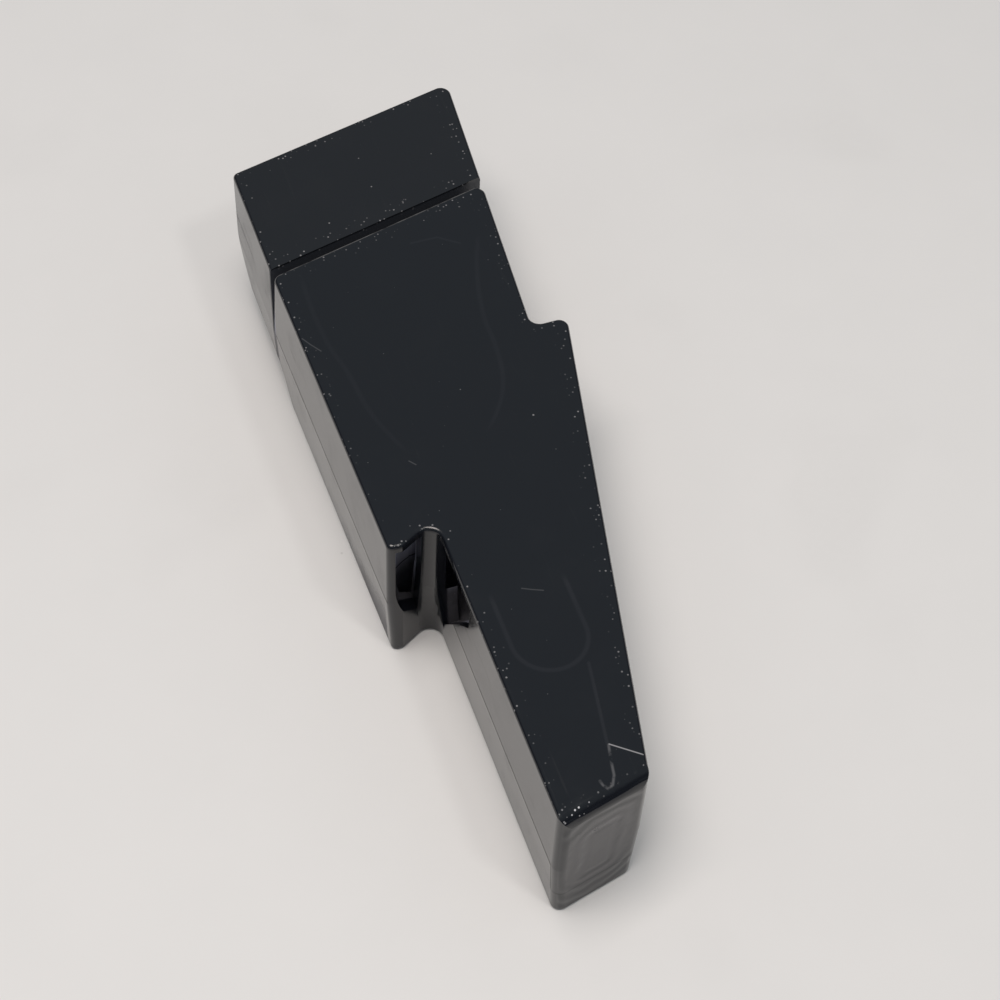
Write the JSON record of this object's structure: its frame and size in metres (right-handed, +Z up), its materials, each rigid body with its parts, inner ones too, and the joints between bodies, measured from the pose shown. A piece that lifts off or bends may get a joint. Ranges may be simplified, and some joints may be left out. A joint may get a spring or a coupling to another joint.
{
  "type": "training whistle",
  "caption": "Flat pealess training whistle in the shape of a lightning bolt, with a slotted mouthpiece and a lanyard post in its side notch.",
  "frame": {"origin": "under the middle of the whistle's bounding box, on the flat underside that it lies on", "axes": "+Y from the tail to the mouthpiece tip, along the left sides; +Z up through the top face with the slot; +X to the right"},
  "size_m": [0.0213, 0.0714, 0.0145],
  "materials": {
    "body_plastic": "moulded gloss",
    "mouthpiece_plastic": "moulded satin"
  },
  "bodies": {
    "root": {"upper_shell": "body_plastic", "base_shell": "body_plastic", "mouthpiece_block": "mouthpiece_plastic"}
  },
  "joints": []
}
